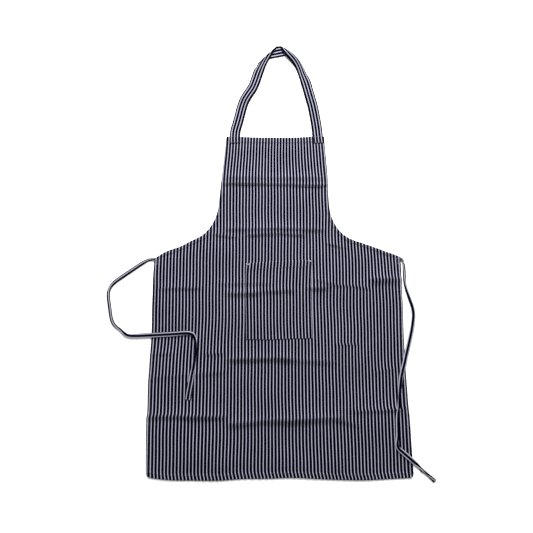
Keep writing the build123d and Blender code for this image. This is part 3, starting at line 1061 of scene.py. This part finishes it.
def sewPanel():
    side = panel["width"] / 2 - 0.0085
    threads = {
        "bottom_hem_thread": [[(-0.340, 0.0125), (0.340, 0.0125)]],
        "bib_hem_thread": [[(-0.1435, 0.9485), (0.1435, 0.9485)]],
        "left_side_hem_thread": [[(-side, 0.014), (-side, 0.5845)]],
        "right_side_hem_thread": [[(side, 0.014), (side, 0.5845)]],
    }
    pieces = []
    for name, paths in threads.items():
        pieces.append(sew(name + "_stitches", [onPanelLine(path) for path in paths], navyThread))
        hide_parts(name)
    for name, way in (("left", -1), ("right", 1)):
        pieces.append(sew(name + "_armhole_stitches", [armholeLine(way)], navyThread))
        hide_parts(name + "_armhole_thread")
        box = [(0.348, 0.571), (0.3395, 0.571), (0.3395, 0.5845), (0.348, 0.588)]
        box = [(way * x, y) for x, y in box]
        pieces.append(sew(name + "_tie_anchor_stitches", [onPanelLine(box, 60)], lightThread))
        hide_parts(name + "_tie_anchor_thread")
    return [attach(piece, "apron_body") for piece in pieces]


def sewPocket():
    seam = pocket["half"] - 0.0017
    low, top = pocket["base"] + 0.0017, pocket["top"]
    tackX, tackY = pocket["half"] - 0.0055, top - 0.0040
    seamPiece = sew("pocket_seam_stitches", [onPocketLine(
        [(-seam, top - 0.001), (-seam, low), (seam, low), (seam, top - 0.001)])], navyThread)
    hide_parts("pocket_seam_thread")
    hemPiece = sew("pocket_hem_stitches", [onPocketLine(
        [(-seam + 0.007, top - 0.020), (seam - 0.007, top - 0.020)])], navyThread)
    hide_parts("pocket_hem_thread")
    tacks = []
    for way in (-1, 1):
        tacks += zigzag(
            way * tackX - 0.0048, tackY, way * tackX + 0.0048, tackY, 14,
            lambda x, y: onPocket(x, y, stitch["tackLift"]))
    tackPiece = sew(
        "pocket_corner_tack_stitches", tacks, lightThread, stitch["tackGrain"], stitch["tackEvery"])
    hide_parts("pocket_corner_tacks")
    return [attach(piece, "apron_body") for piece in (seamPiece, hemPiece, tackPiece)]


def sewStrap():
    heights = rails[:, 1, 1]
    half = len(rails) // 2
    leftRows = np.flatnonzero(heights[:half] < strap["sewnTop"])
    rightRows = half + np.flatnonzero(heights[half:] < strap["sewnTop"])
    anchors = []
    for rows in (leftRows, rightRows):
        lowRow, topRow = (rows[0] + 1, rows[-1]) if rows[0] < half else (rows[-1] - 1, rows[0])
        for row in (lowRow, topRow):
            across = np.linspace(0.06, 0.94, 40)
            places = strapPlaces(rails, across, np.full(40, row))
            places[:, 2] += stitch["anchorLift"]
            anchors.append(places)
    anchorPiece = sew("neck_strap_anchor_stitches", anchors, lightThread)
    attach(anchorPiece, "apron_body")
    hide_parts("neck_strap_anchor_threads")
    first, last = leftRows[-1] + 1, rightRows[0] - 1
    edges = [strapEdgeLine(share, first, last) for share in (0.055, 0.945)]
    edgePiece = sew("neck_strap_edge_stitches", edges, navyThread)
    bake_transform(edgePiece)
    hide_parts("neck_strap_edge_threads")
    return [anchorPiece, edgePiece]


def strapEdgeLine(share, first, last):
    # a line of places on the strap's outer face, which looks down where the strap is folded over
    rows = np.arange(first, last)
    across = np.full(len(rows), share)
    here = strapPlaces(rails, across, rows)
    beside = strapPlaces(rails, across + 0.02, rows)
    forward = np.gradient(here, axis=0)
    face = unit(np.cross(beside - here, forward))
    return here + face * stitch["edgeLift"]


stitchPieces = sewPanel()
pocketStitches = sewPocket()
strapStitches = sewStrap()


def sewTie(values):
    lie = tieLie(values)
    rows = np.arange(8, len(lie["points"]) - 1)
    line = tiePlaces(lie, np.full(len(rows), 0.08), rows, tie["thickness"] / 2 + 0.0001)
    threads = sew(values["name"] + "_edge_stitches", [line], navyThread)
    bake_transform(threads)
    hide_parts(values["name"] + "_edge_thread")
    return threads


leftTieStitches = sewTie(leftTie)
rightTieStitches = sewTie(rightTie)
print("stitches sewn")


# floor and light

studio = dict(
    floorSize=6.0, floorColour=(0.93, 0.93, 0.93, 1), worldStrength=0.62,
    keyPlace=(0.05, 2.50, 1.55), keySize=1.5, keyPower=232.0,
)


def makeStudio():
    deselectAll()
    bpy.ops.mesh.primitive_plane_add(size=studio["floorSize"], location=(0, 0, 0))
    floor = bpy.context.object
    floor.name = "floor"
    material, shader = newMaterial("paleFloor")
    shader.inputs["Base Color"].default_value = studio["floorColour"]
    shader.inputs["Roughness"].default_value = 0.7
    floor.data.materials.append(material)
    world = bpy.data.worlds.new("softRoom")
    world.use_nodes = True
    world.node_tree.nodes["Background"].inputs[0].default_value = (1, 1, 1, 1)
    world.node_tree.nodes["Background"].inputs[1].default_value = studio["worldStrength"]
    bpy.context.scene.world = world
    bpy.ops.object.light_add(type="AREA", location=studio["keyPlace"])
    key = bpy.context.object
    key.name = "keyLight"
    key.data.shape = "DISK"
    key.data.size = studio["keySize"]
    key.data.energy = studio["keyPower"]
    towards = Vector((0, -0.1, 0)) - key.location
    key.rotation_euler = towards.to_track_quat("-Z", "Y").to_euler()
    bpy.context.scene.view_settings.view_transform = "Standard"


makeStudio()
print("studio set")
